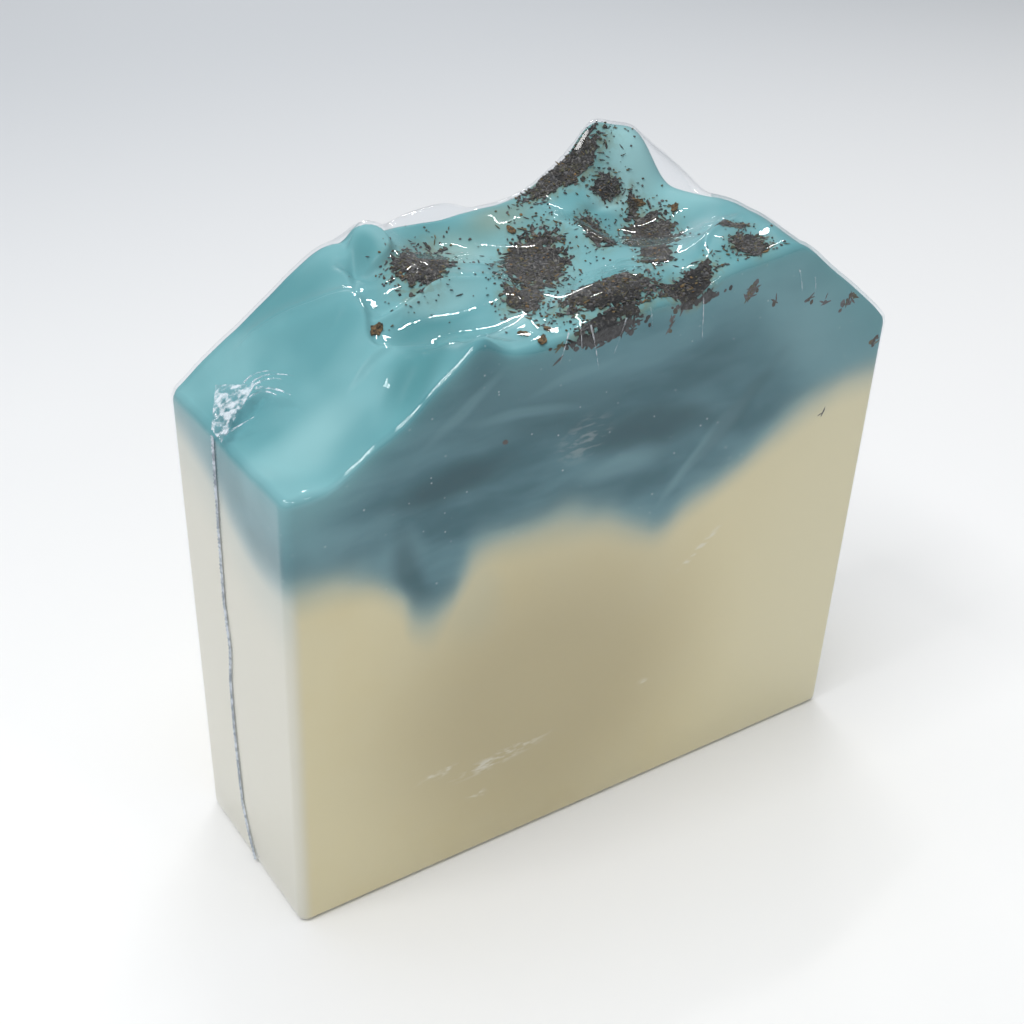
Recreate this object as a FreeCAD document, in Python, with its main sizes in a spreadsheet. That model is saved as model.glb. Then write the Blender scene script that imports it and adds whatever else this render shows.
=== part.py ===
import FreeCAD, Part
import math
import os
import Sketcher

# A hand-cut bar of soap standing on its base, with a sculpted top, pressed herbs and a clear film.
# Millimetres. X runs along the bar, -Y is the broad front, the seamed end is at -X, +Z is up.
# The origin is the middle of the base, on the resting plane.

sizes = {
    "bar_width": 84.0,  # along X
    "base_depth": 26.0,  # along Y at the base
    "shoulder_depth": 29.0,  # along Y at the shoulders, because the two cuts flare
    "shoulder_height": 60.2,  # the soap's height at both ends
    "stock_height": 96.0,  # the cut block before its top is shaped
    "edge_radius": 1.2,  # upright and base edges of the soap
    "rear_ridge": 14.2,  # the long rear ridge's height over the shoulders
    "front_ridge": 9.6,  # the front ridge's height over the shoulders at its lowest
    "front_climb": 5.4,  # what the front ridge gains towards the right
    "left_slope": 0.735,  # rise for each mm along X
    "right_slope": 0.76,
    "end_rise": 2.0,  # what the right slope gains at its rounded foot
    "end_round": 2.5,
    "front_toe": 6.0,  # level length at the front left corner before the slope starts
    "knob_rise": 6.6,  # the tallest curl of the top
    "fold_relief": 1.0,  # scales the height of every smaller fold
    "herb_bed": 0.6,  # least depth of a pressed herb patch
    "flake_thickness": 0.35,
    "film_gap": 0.15,  # between the film and the soap's sides or the flakes
    "film_thickness": 0.1,
    "film_span": 12.0,  # radius that the film bends to where it bridges a hollow
    "seam_width": 0.7,
    "seam_proud": 0.45,
    "seam_offset": 2.4,  # from the end's middle towards the back
    "flap_reach": 6.0,  # the trimmed corner of film at the seam's top
}

# Folds of the top. Each has its place along and across the bar as shares from the left end and
# the front, half length, half width, turn in degrees, rise, and crispness of its rim.
folds = {
    "knob": (0.725, 1.00, 6.2, 6.2, 0, 1.0, 1.3),
    "knob_flank": (0.630, 0.97, 5.6, 5.2, 0, 3.2, 1.0),
    "notch": (0.822, 1.00, 3.2, 5.0, 0, -1.6, 1.0),
    "curl": (0.300, 0.88, 3.4, 4.6, 12, 1.2, 1.0),
    "rear_dish": (0.400, 0.78, 6.5, 4.8, -4, -2.2, 1.0),
    "herb_hollow": (0.500, 0.52, 6.6, 7.0, 10, -1.7, 1.2),
    "lip_shelf": (0.360, 0.60, 6.4, 4.0, -6, 1.0, 1.2),
    "scoop": (0.300, 0.335, 8.6, 4.8, -3, -2.3, 1.3),
    "front_lip": (0.282, 0.00, 3.0, 3.2, 0, 2.7, 1.0),
    "lens_hollow": (0.200, 0.12, 5.5, 3.0, 35, -1.0, 1.0),
    "front_hump": (0.520, 0.15, 7.0, 3.6, 4, 1.4, 1.0),
    "right_hump": (0.700, 0.18, 5.5, 3.4, 28, 1.2, 1.0),
    "saddle": (0.612, 0.00, 3.2, 4.0, 0, -1.6, 1.0),
    "middle_dish": (0.690, 0.58, 6.5, 5.6, 0, -2.8, 1.1),
    "right_shoulder": (0.822, 0.40, 4.0, 8.0, -6, 1.6, 1.0),
}

# Pressed herb patches: place as shares, half length, half width, turn, and where the uneven
# outline starts.
patches = {
    "rear_left": (0.355, 0.80, 5.0, 3.3, 2, 0.4),
    "middle": (0.487, 0.53, 7.8, 4.2, 62, 1.7),
    "knob_side": (0.640, 0.90, 6.8, 2.4, 4, 2.6),
    "behind_ridge": (0.690, 0.57, 6.2, 4.2, 14, 4.1),
    "front_middle": (0.520, 0.10, 7.4, 3.6, 5, 5.2),
    "front_right": (0.640, 0.05, 2.8, 2.4, 12, 0.9),
    "by_shoulder": (0.748, 0.17, 4.8, 2.6, 20, 3.3),
}

# Larger herb flakes lying by themselves: place as shares, half length, turn.
flakes = {
    "scoop_flake": (0.218, 0.43, 1.3, -50),
    "lip_flake": (0.370, 0.07, 1.2, -25),
    "ridge_flake": (0.405, 0.16, 0.9, 20),
    "rear_flake": (0.590, 0.74, 1.0, 35),
    "knob_flake": (0.745, 0.70, 1.1, 70),
    "dish_flake": (0.775, 0.50, 1.0, 10),
}

soap_step = 1.4  # between the points that the soap's top surface passes through
film_step = 4.2  # between the corners of the film's flat panels
margin = 2.5  # how far both surfaces run past the soap on every side

os.makedirs("parts", exist_ok=True)
doc = FreeCAD.newDocument("bar_of_soap")
sheet = doc.addObject("Spreadsheet::Sheet", "sizes")
for row, (name, value) in enumerate(sizes.items(), start=1):
    sheet.set("A%d" % row, name)
    sheet.set("B%d" % row, str(value))
    sheet.setAlias("B%d" % row, name)
doc.recompute()
size = {name: float(sheet.get(name)) for name in sizes}


def block(label, grow, foot):
    # An upright block that flares upwards, larger than the soap by `grow` all round.
    body = doc.addObject("PartDesign::Body", label)
    plane = [f for f in body.Origin.OriginFeatures if f.Role == "YZ_Plane"][0]
    sketch = body.newObject("Sketcher::SketchObject", label + "_end")
    sketch.AttachmentSupport = [(plane, "")]
    sketch.MapMode = "FlatFace"
    low, high, top = size["base_depth"] / 2, size["shoulder_depth"] / 2, size["stock_height"]
    corners = [(-low, 1), (low, 1), (high, top), (-high, top)]
    for i in range(4):
        start, end = corners[i], corners[(i + 1) % 4]
        sketch.addGeometry(Part.LineSegment(FreeCAD.Vector(*start, 0), FreeCAD.Vector(*end, 0)))
    for i in range(4):
        sketch.addConstraint(Sketcher.Constraint("Coincident", i, 2, (i + 1) % 4, 1))
    for line in (0, 2):
        sketch.addConstraint(Sketcher.Constraint("Symmetric", line, 1, line, 2, -2))
    flare = "base_depth + (shoulder_depth - base_depth) / shoulder_height * "
    bound = [
        (Sketcher.Constraint("DistanceX", 0, 1, 0, 2, 2 * low), flare + "0", 2),
        (Sketcher.Constraint("DistanceX", 2, 2, 2, 1, 2 * high), flare + "stock_height", 2),
        (Sketcher.Constraint("DistanceY", -1, 1, 0, 1, 1), foot, 0),
        (Sketcher.Constraint("DistanceY", -1, 1, 3, 1, top), "stock_height", 0),
    ]
    for constraint, rule, sides in bound:
        index = sketch.addConstraint(constraint)
        rule = sheet_rule(rule)
        if sides:
            rule = "%s + 2 * (%s)" % (rule, sheet_rule(grow))
        sketch.setExpression("Constraints[%d]" % index, rule)
    pad = body.newObject("PartDesign::Pad", label + "_pad")
    pad.Profile = sketch
    pad.SideType = "Symmetric"
    pad.setExpression("Length", "%s + 2 * (%s)" % (sheet_rule("bar_width"), sheet_rule(grow)))
    doc.recompute()
    rounded = body.newObject("PartDesign::Fillet", label + "_edges")
    edges = enumerate(pad.Shape.Edges, start=1)
    names = ["Edge%d" % i for i, e in edges if e.BoundBox.ZMin < size["stock_height"] / 2]
    rounded.Base = (pad, names)
    rounded.setExpression("Radius", sheet_rule("edge_radius") + " + " + sheet_rule(grow))
    doc.recompute()
    return body


def sheet_rule(text):
    # The expression with every size's name pointed at the sheet.
    words = text.replace("(", "( ").replace(")", " )").split()
    return " ".join("sizes." + w if w in sizes else w for w in words)


def soft_least(values, blend):
    # The least of the values, rounded over where two of them come close.
    least = min(values)
    return least - blend * math.log(sum(math.exp((least - v) / blend) for v in values))


def roof(x, y):
    # The top without its folds: two end slopes rising to a ridge that climbs to the right.
    left, right = x + size["bar_width"] / 2, size["bar_width"] / 2 - x
    share = y / size["shoulder_depth"] + 0.5
    toe = size["front_toe"] * math.exp(-((share / 0.34) ** 2))
    run = (left - toe + math.hypot(left - toe, 1.5)) / 2 - (math.hypot(toe, 1.5) - toe) / 2
    climb = (1 + math.tanh((left / size["bar_width"] - 0.62) / 0.16)) / 2 * size["front_climb"]
    ridge = (size["front_ridge"] + climb) * (1 - share) + size["rear_ridge"] * share
    foot = 1 - math.exp(-max(right, 0) / size["end_round"])
    end = size["end_rise"] * foot + size["right_slope"] * right
    return size["shoulder_height"] + soft_least([size["left_slope"] * run, ridge + 0.5, end], 0.6)


def top_height(x, y):
    height = roof(x, y)
    for name, (along, across, length, width, turn, rise, crisp) in folds.items():
        dx = x + size["bar_width"] * (0.5 - along)
        dy = y + size["shoulder_depth"] * (0.5 - across)
        c, s = math.cos(math.radians(turn)), math.sin(math.radians(turn))
        reach = ((dx * c + dy * s) / length) ** 2 + ((dy * c - dx * s) / width) ** 2
        gain = size["knob_rise"] if name == "knob" else rise * size["fold_relief"]
        height += gain * math.exp(-(reach ** crisp))
    return height


def places(length, step):
    # Evenly spaced places from one side of a surface to the other.
    count = int(math.ceil((length + 2 * margin) / step))
    return [(length + 2 * margin) * (i / count - 0.5) for i in range(count + 1)]


def clamped(value, length):
    return min(max(value, -length / 2), length / 2)


def bridged(line, old, new, sign):
    # One line of heights, raised (1) or lowered (-1) to the arcs that its neighbours can carry.
    span = 2 * size["film_span"]
    pick = max if sign > 0 else min
    return [pick(h - sign * (p - q) ** 2 / span for q, h in zip(old, line)) for p in new]


def drape(xs, ys):
    # Heights of film drawn over the soap: it rides on the ridges and bends over the hollows.
    reach = size["film_span"]
    inside_x = [-0.5 * size["bar_width"] + size["bar_width"] * i / 42 for i in range(43)]
    inside_y = [-0.5 * size["shoulder_depth"] + size["shoulder_depth"] * i / 14 for i in range(15)]
    outside_x = [2 * x * (0.5 + reach / size["bar_width"]) for x in inside_x]
    outside_y = [2 * y * (0.5 + reach / size["shoulder_depth"]) for y in inside_y]
    heights = [[top_height(x, y) for x in inside_x] for y in inside_y]
    for sign, old_x, new_x, old_y, new_y in (
        (1, inside_x, outside_x, inside_y, outside_y),
        (-1, outside_x, [clamped(x, size["bar_width"]) for x in xs],
         outside_y, [clamped(y, size["shoulder_depth"]) for y in ys]),
    ):
        heights = [bridged(row, old_x, new_x, sign) for row in heights]
        columns = [bridged(column, old_y, new_y, sign) for column in zip(*heights)]
        heights = [list(row) for row in zip(*columns)]
    return heights


def lowest_in_cell(a, b, c, d, fx, fy):
    # A place's height in a cell of four corners, creased along whichever diagonal lies lower there.
    first = a + (b - a) * fx + (c - b) * fy if fx > fy else a + (c - d) * fx + (d - a) * fy
    if fx + fy < 1:
        return min(first, a + (b - a) * fx + (d - a) * fy)
    return min(first, c + (d - c) * (1 - fx) + (b - c) * (1 - fy))


def raise_clear(heights, xs, ys):
    # Lifts the film's corners wherever the soap would come through a panel.
    fine = 3
    for n in range(fine * (len(ys) - 1)):
        for m in range(fine * (len(xs) - 1)):
            (j, fy), (i, fx) = divmod(n / fine, 1), divmod(m / fine, 1)
            i, j = int(i), int(j)
            x = xs[i] + fx * (xs[1] - xs[0])
            y = ys[j] + fy * (ys[1] - ys[0])
            soap = top_height(clamped(x, size["bar_width"]), clamped(y, size["shoulder_depth"]))
            corners = [(j, i), (j, i + 1), (j + 1, i + 1), (j + 1, i)]
            film = lowest_in_cell(*[heights[q][p] for q, p in corners], fx, fy)
            for q, p in corners:
                heights[q][p] += max(soap - film, 0)
    return heights


def surface_over(heights, xs, ys):
    # The smooth surface that passes through heights on an even grid.
    surface = Part.BSplineSurface()
    rows = [[heights[j][i] for j in range(len(ys))] for i in range(len(xs))]
    surface.interpolate(rows, xs[0], xs[1] - xs[0], ys[0], ys[1] - ys[0])
    return surface


def panels(heights, xs, ys):
    # Tight film lies in flat panels: two to a cell, creased along the higher diagonal.
    made = []
    for j in range(len(ys) - 1):
        for i in range(len(xs) - 1):
            a, b, c, d = [
                (xs[i + p], ys[j + q], heights[j + q][i + p]) for p, q in ((0, 0), (1, 0), (1, 1), (0, 1))
            ]
            if a[2] + c[2] > b[2] + d[2]:
                made += [(a, b, c), (a, c, d)]
            else:
                made += [(a, b, d), (b, c, d)]
    return made


def height_on(made, x, y):
    # The height of the panel that lies over a place.
    best = None
    for (ax, ay, az), (bx, by, bz), (cx, cy, cz) in made:
        area = (bx - ax) * (cy - ay) - (cx - ax) * (by - ay)
        q = ((x - ax) * (cy - ay) - (cx - ax) * (y - ay)) / area
        r = ((bx - ax) * (y - ay) - (x - ax) * (by - ay)) / area
        inside = min(q, r, 1 - q - r)
        if best is None or inside > best[0]:
            best = (inside, az + q * (bz - az) + r * (cz - az))
    return best[1]


def herb_bed(along, across, length, width, turn, start):
    # The column over an uneven closed patch, with a flat floor that follows the top's tilt.
    centre_x = size["bar_width"] * (along - 0.5)
    centre_y = size["shoulder_depth"] * (across - 0.5)
    c, s = math.cos(math.radians(turn)), math.sin(math.radians(turn))
    spots = []
    for i in range(10):
        angle = 2 * math.pi * i / 10
        swell = 1 + 0.16 * math.sin(3 * angle + start) + 0.09 * math.sin(5 * angle + 2 * start)
        px, py = length * swell * math.cos(angle), width * swell * math.sin(angle)
        spots.append((centre_x + px * c - py * s, centre_y + px * s + py * c))
    heights = [top_height(x, y) for x, y in spots]
    middle = sum(heights) / 10
    lean_x = sum(h * (x - centre_x) for h, (x, y) in zip(heights, spots))
    lean_x /= sum((x - centre_x) ** 2 for x, y in spots)
    lean_y = sum(h * (y - centre_y) for h, (x, y) in zip(heights, spots))
    lean_y /= sum((y - centre_y) ** 2 for x, y in spots)

    def floor(x, y):
        return middle + lean_x * (x - centre_x) + lean_y * (y - centre_y)

    inner = [(centre_x + (x - centre_x) * k, centre_y + (y - centre_y) * k)
             for x, y in spots for k in (0, 0.5, 1)]
    sunk = max(floor(x, y) - top_height(x, y) for x, y in inner) + size["herb_bed"]
    points = [FreeCAD.Vector(x, y, floor(x, y) - sunk) for x, y in spots]
    face = Part.Face(Part.makePolygon(points + points[:1]))
    return face.extrude(FreeCAD.Vector(0, 0, size["stock_height"] / 4))


def chip(along, across, length, turn):
    # The upright column over one torn leaf flake with five corners.
    centre = FreeCAD.Vector(
        size["bar_width"] * (along - 0.5), size["shoulder_depth"] * (across - 0.5), 0
    )
    corners = []
    for angle, share in ((0, 1.0), (75, 0.5), (150, 0.85), (215, 0.75), (290, 0.55)):
        direction = math.radians(angle + turn)
        step = FreeCAD.Vector(math.cos(direction), math.sin(direction), 0)
        corners.append(centre + step * (length * share))
    face = Part.Face(Part.makePolygon(corners + corners[:1]))
    return face.extrude(FreeCAD.Vector(0, 0, size["stock_height"]))


def feature(label, shape):
    made = doc.addObject("Part::Feature", label)
    made.Shape = shape
    return made


def joined(kind, label, base, tool):
    made = doc.addObject(kind, label)
    made.Base = base
    made.Tool = tool
    doc.recompute()
    return made


soap_x, soap_y = places(size["bar_width"], soap_step), places(size["shoulder_depth"], soap_step)
film_x, film_y = places(size["bar_width"], film_step), places(size["shoulder_depth"], film_step)
soap_top = surface_over([[top_height(x, y) for x in soap_x] for y in soap_y], soap_x, soap_y)
film_top = panels(raise_clear(drape(film_x, film_y), film_x, film_y), film_x, film_y)
film_lift = size["flake_thickness"] + size["film_gap"]
film_skin = size["film_thickness"] * 1.3
up = FreeCAD.Vector(0, 0, size["stock_height"])


def above(made, lift):
    # Everything over the film's panels, to be cut away from a block.
    left, right, front, back = film_x[0], film_x[-1], film_y[0], film_y[-1]
    faces, rims = [], {"left": {}, "right": {}, "front": {}, "back": {}}
    for corners in made:
        points = [FreeCAD.Vector(x, y, z + lift) for x, y, z in corners]
        faces.append(Part.Face(Part.makePolygon(points + points[:1])))
        for point in points:
            for side, on in (("left", point.x == left), ("right", point.x == right),
                             ("front", point.y == front), ("back", point.y == back)):
                if on:
                    rims[side][(point.x, point.y)] = point
    roof_corners = [FreeCAD.Vector(x, y, 2 * up.z)
                    for x, y in ((left, front), (right, front), (right, back), (left, back))]
    for rim in rims.values():
        line = [rim[key] for key in sorted(rim)]
        over = [FreeCAD.Vector(p.x, p.y, 2 * up.z) for p in (line[-1], line[0])]
        faces.append(Part.Face(Part.makePolygon(line + over + line[:1])))
    faces.append(Part.Face(Part.makePolygon(roof_corners + roof_corners[:1])))
    return Part.makeSolid(Part.makeShell(faces))


soap_block = block("soap_block", "0", "film_thickness")
soap_mould = feature("soap_mould", soap_top.toShape().extrude(up))
shaped_block = joined("Part::Cut", "shaped_block", soap_block, soap_mould)
herb_plan = feature("herb_plan", Part.makeCompound([herb_bed(*patch) for patch in patches.values()]))
soap_bar = joined("Part::Cut", "soap_bar", shaped_block, herb_plan)
herb_crust = joined("Part::Common", "herb_crust", shaped_block, herb_plan)

flake_layer = feature(
    "flake_layer", soap_top.toShape().extrude(FreeCAD.Vector(0, 0, size["flake_thickness"]))
)
flake_field = joined("Part::Common", "flake_field", flake_layer, soap_block)
flake_plan = feature("flake_plan", Part.makeCompound([chip(*flake) for flake in flakes.values()]))
herb_flakes = joined("Part::Common", "herb_flakes", flake_field, flake_plan)

cavity_block = block("cavity_block", "film_gap", "film_thickness")
cavity_mould = feature("cavity_mould", above(film_top, film_lift))
cavity = joined("Part::Cut", "cavity", cavity_block, cavity_mould)
wrap_block = block("wrap_block", "film_gap + film_thickness", "0")
wrap_mould = feature("wrap_mould", above(film_top, film_lift + film_skin))
wrap_outside = joined("Part::Cut", "wrap_outside", wrap_block, wrap_mould)
film_shell = joined("Part::Cut", "film_shell", wrap_outside, cavity)
wrap_end = -(size["bar_width"] / 2 + size["film_gap"] + size["film_thickness"])


def film_over(x, y):
    # The height of the film's outside.
    return height_on(film_top, x, y) + film_lift + film_skin


def seam_bead():
    # The crimped weld down the left end: a slightly wandering strip that stands proud.
    low, high = size["edge_radius"] + 1.0, film_over(wrap_end, size["seam_offset"]) - 0.3
    middle, half = size["seam_offset"], size["seam_width"] / 2
    sides = []
    for side in (-half, half):
        points = []
        for i in range(13):
            share = i / 12
            wander = 0.35 * math.sin(9 * share) + 0.2 * math.sin(23 * share + 1)
            points.append(FreeCAD.Vector(wrap_end, middle + side + wander, low + (high - low) * share))
        curve = Part.BSplineCurve()
        curve.interpolate(points)
        sides.append(curve)
    left, right = sides
    edges = [
        left.toShape(),
        Part.makeLine(left.EndPoint, right.EndPoint),
        right.toShape(),
        Part.makeLine(right.StartPoint, left.StartPoint),
    ]
    strip = Part.Face(Part.Wire(edges))
    strip.translate(FreeCAD.Vector(size["film_thickness"] / 2, 0, 0))
    return strip.extrude(FreeCAD.Vector(-size["seam_proud"] - size["film_thickness"] / 2, 0, 0))


def trimmed_flap():
    # The cut corner of film at the seam's top, folded back over the left slope.
    root_x, middle, reach = wrap_end - 0.25, size["seam_offset"], size["flap_reach"]
    middle += 0.35 * math.sin(9) + 0.2 * math.sin(24)
    rim = film_over(wrap_end, middle)
    root = [FreeCAD.Vector(root_x, middle + side, rim - 0.9) for side in (-0.3, 0.3)]
    rest = [FreeCAD.Vector(root_x + 0.1, middle + side, rim + 0.5) for side in (-0.9, 0.9)]
    tips = []
    for along, side in ((1.0, 1.4), (0.6, 5.2)):
        x, y = root_x + along * reach, middle + side
        tips.append(FreeCAD.Vector(x, y, film_over(x, y) + 0.8))
    plies = []
    for near, far in ((root, rest), (rest, tips)):
        face = Part.makeRuledSurface(Part.makeLine(*near), Part.makeLine(*far))
        plies.append(face.extrude(FreeCAD.Vector(-size["film_thickness"], 0, size["film_thickness"])))
    return plies[0].fuse(plies[1])


seam = feature("seam", seam_bead())
flap = feature("flap", trimmed_flap())
shrink_film = doc.addObject("Part::MultiFuse", "shrink_film")
shrink_film.Shapes = [film_shell, seam, flap]
doc.recompute()

kept = [soap_bar, herb_crust, herb_flakes, shrink_film]
for item in doc.Objects:
    if "Invalid" in item.State or "Error" in item.State:
        raise RuntimeError("%s did not compute" % item.Name)
for node in kept:
    if node.Shape.isNull() or not node.Shape.isValid():
        raise RuntimeError("%s has no valid shape" % node.Label)
    print(node.Label, len(node.Shape.Solids), "solids", round(node.Shape.Volume, 1), "mm3")
    node.Shape.exportStep("parts/%s.step" % node.Label)
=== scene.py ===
import math
import random

import bpy
import numpy as np
from mathutils import Matrix, Vector, noise


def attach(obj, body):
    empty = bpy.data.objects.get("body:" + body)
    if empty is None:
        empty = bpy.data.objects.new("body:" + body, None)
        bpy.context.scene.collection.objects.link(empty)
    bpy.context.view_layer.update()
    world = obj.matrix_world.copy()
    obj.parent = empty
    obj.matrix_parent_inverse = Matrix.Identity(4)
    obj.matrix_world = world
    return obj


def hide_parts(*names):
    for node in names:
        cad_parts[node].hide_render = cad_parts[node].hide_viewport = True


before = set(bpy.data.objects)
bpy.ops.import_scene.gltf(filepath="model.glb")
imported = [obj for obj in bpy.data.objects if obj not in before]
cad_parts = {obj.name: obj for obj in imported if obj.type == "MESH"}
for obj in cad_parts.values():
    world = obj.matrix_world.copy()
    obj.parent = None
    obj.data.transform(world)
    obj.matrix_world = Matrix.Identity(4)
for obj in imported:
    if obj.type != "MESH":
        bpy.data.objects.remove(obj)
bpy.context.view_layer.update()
mm = 0.001
print("frame loaded")


# small helpers

def startFresh():
    if bpy.context.object and bpy.context.object.mode != "OBJECT":
        bpy.ops.object.mode_set(mode="OBJECT")
    bpy.ops.object.select_all(action="DESELECT")


def pick(*pieces):
    startFresh()
    for piece in pieces:
        piece.select_set(True)
    bpy.context.view_layer.objects.active = pieces[0]


def readPoints(piece):
    flat = np.empty(len(piece.data.vertices) * 3)
    piece.data.vertices.foreach_get("co", flat)
    return flat.reshape(-1, 3).T / mm


def writePoints(piece, x, y, z):
    piece.data.vertices.foreach_set("co", (np.stack([x, y, z], axis=1) * mm).ravel())
    piece.data.update()


def unevenness(x, y, grain, seed):
    return np.array([noise.noise((a / grain, b / grain, seed)) for a, b in zip(x, y)])


def saveOnPoints(piece, name, values):
    layer = piece.data.attributes.new(name, "FLOAT", "POINT")
    layer.data.foreach_set("value", np.asarray(values, dtype=np.float32))


def applyModifier(piece, kind, **settings):
    pick(piece)
    modifier = piece.modifiers.new(kind.title(), kind)
    for key, value in settings.items():
        setattr(modifier, key, value)
    bpy.ops.object.modifier_apply(modifier=modifier.name)


def finishPiece(piece, name, material, smoothAngle=40):
    piece.name = piece.data.name = name
    piece.data.materials.clear()
    piece.data.materials.append(material)
    pick(piece)
    bpy.ops.object.shade_smooth_by_angle(angle=math.radians(smoothAngle))
    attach(piece, "root")
    return piece


def joinInto(pieces):
    pick(*pieces)
    bpy.ops.object.join()
    return bpy.context.object


# the soap's form, in millimetres

bar = {
    "width": 84.0,
    "depth": 29.0,
    "baseDepth": 26.0,
    "shoulder": 60.2,
    "foot": 0.1,
    "cornerRadius": 1.2,
    "footRadius": 0.7,
    "rimRadius": 1.1,
    "rearRidge": 14.2,
    "frontRidge": 9.6,
    "frontClimb": 5.4,
    "leftSlope": 0.735,
    "rightSlope": 0.76,
    "toe": 6.0,
    "cells": (340, 118),
    "wallRows": (0.985, 0.965, 0.94, 0.91, 0.86, 0.80, 0.7, 0.5, 0.3, 0.12, 0.0),
}

folds = {  # place as shares along and across, half length, half width, turn, rise, crispness
    "knob": (0.725, 1.00, 6.0, 5.6, 0, 6.6, 2.0),
    "knobFlank": (0.640, 0.97, 5.2, 4.8, 0, 3.6, 1.0),
    "notch": (0.818, 1.00, 2.4, 5.0, 0, -1.6, 1.0),
    "curl": (0.303, 0.87, 3.0, 4.4, 12, 1.2, 1.6),
    "crevice": (0.254, 0.78, 1.4, 3.0, 20, -1.5, 1.0),
    "rearDish": (0.400, 0.78, 6.5, 4.6, -4, -2.2, 1.6),
    "herbHollow": (0.500, 0.52, 6.6, 7.0, 10, -1.7, 2.0),
    "innerRidge": (0.566, 0.66, 1.8, 5.5, 20, 1.0, 1.0),
    "lipShelf": (0.360, 0.60, 6.4, 3.4, -6, 1.0, 2.2),
    "scoop": (0.300, 0.335, 8.6, 4.4, -3, -2.3, 2.2),
    "frontLip": (0.282, 0.00, 2.4, 2.6, 0, 2.7, 1.0),
    "lens": (0.200, 0.12, 5.0, 2.2, 35, -1.2, 1.4),
    "slopeDish": (0.100, 0.42, 5.5, 7.5, 10, -0.8, 1.2),
    "slopeRidge": (0.143, 0.72, 7.0, 1.6, -43, 0.5, 1.0),
    "frontHump": (0.520, 0.15, 7.0, 3.2, 4, 1.4, 1.4),
    "rightHump": (0.700, 0.18, 5.5, 2.6, 28, 1.2, 1.3),
    "saddle": (0.612, 0.00, 2.4, 4.0, 0, -1.6, 1.0),
    "middleDish": (0.690, 0.58, 6.5, 5.6, 0, -2.8, 1.5),
    "rightShoulder": (0.822, 0.40, 3.6, 8.0, -6, 1.6, 1.2),
}

edges = {  # crisp lines on the top: rise on the left of the line, blend, fade, ridge on it, its path
    "slopeRidge": (0.40, 0.35, 3.0, 0.22, (
        (-23.6, 1.8), (-23.9, 3.2), (-25.3, 4.9), (-27.3, 7.0), (-29.4, 9.2), (-32.0, 10.8), (-35.5, 11.2),
    )),
    "scoopEdge": (-0.85, 0.40, 3.4, 0.12, (
        (-23.4, 3.8), (-23.8, 0.8), (-24.7, -1.0), (-25.5, -2.8), (-25.0, -4.3), (-22.2, -5.2),
        (-19.0, -5.8), (-16.0, -6.5), (-13.8, -7.0),
    )),
    "innerRib": (-0.40, 0.35, 3.0, 0.22, ((-22.5, -5.0), (-24.8, -5.0), (-27.3, -5.3), (-30.5, -6.2))),
    "crease": (-0.35, 0.30, 2.5, -0.30, ((-19.2, 12.9), (-20.6, 9.6), (-22.2, 6.6), (-23.8, 3.2))),
    "lipEdge": (-1.10, 0.35, 3.2, 0.30, (
        (-24.5, -1.0), (-22.0, -0.5), (-18.5, 0.2), (-16.1, 0.9), (-14.0, 1.0), (-11.5, 0.4),
        (-8.6, -0.4), (-7.0, -1.9), (-7.3, -4.2), (-8.6, -8.0), (-9.8, -11.8),
    )),
    "curlEdge": (-1.00, 0.25, 1.8, 0.30, (
        (-20.6, 10.5), (-19.4, 12.6), (-17.6, 13.6), (-15.6, 13.2), (-14.9, 11.6), (-15.4, 9.4),
        (-17.2, 7.6), (-19.4, 7.6), (-20.8, 8.4),
    )),
    "knobCrease": (0.0, 0.30, 1.0, -0.40, ((4.9, 6.0), (9.8, 7.1), (14.4, 8.3), (17.8, 8.6))),
    "humpCrease": (0.35, 0.35, 2.0, -0.35, ((-1.5, -5.2), (3.0, -6.0), (7.6, -8.2), (8.6, -12.0))),
    "shoulderFold": (0.0, 0.40, 2.0, 0.45, ((13.4, -10.6), (15.6, -8.4), (19.6, -6.2), (24.0, -5.0))),
}

herbSpots = {  # pressed herbs: place as shares, half length, half width, turn, crumbs
    "rearLeft": (0.338, 0.700, 6.4, 3.6, 45, 280),
    "middle": (0.494, 0.586, 6.4, 4.1, 50, 420),
    "middleTail": (0.423, 0.362, 3.4, 2.5, 40, 170),
    "flank": (0.622, 0.930, 6.4, 2.0, 0, 230),
    "flankFront": (0.672, 0.821, 2.2, 1.1, -15, 60),
    "behindLeft": (0.602, 0.603, 4.3, 2.0, 70, 150),
    "behind": (0.693, 0.579, 5.2, 3.3, 55, 300),
    "valley": (0.625, 0.293, 3.8, 2.0, 50, 120),
    "behindTop": (0.708, 0.760, 1.3, 0.7, 60, 24),
    "frontMiddle": (0.500, 0.130, 6.4, 3.0, -10, 360),
    "frontEdge": (0.482, 0.014, 5.4, 1.0, 2, 170),
    "frontRight": (0.616, 0.050, 4.4, 1.9, 4, 170),
    "byShoulder": (0.736, 0.098, 2.8, 2.3, 0, 150),
    "shoulderTop": (0.752, 0.260, 2.2, 0.9, -30, 40),
}


def softLeast(values, blend):
    least = np.minimum.reduce(values)
    return least - blend * np.log(sum(np.exp((least - v) / blend) for v in values))


def spotReach(x, y, along, across, length, width, turn):
    dx = x + bar["width"] * (0.5 - along)
    dy = y + bar["depth"] * (0.5 - across)
    c, s = math.cos(math.radians(turn)), math.sin(math.radians(turn))
    return ((dx * c + dy * s) / length) ** 2 + ((dy * c - dx * s) / width) ** 2


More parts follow.
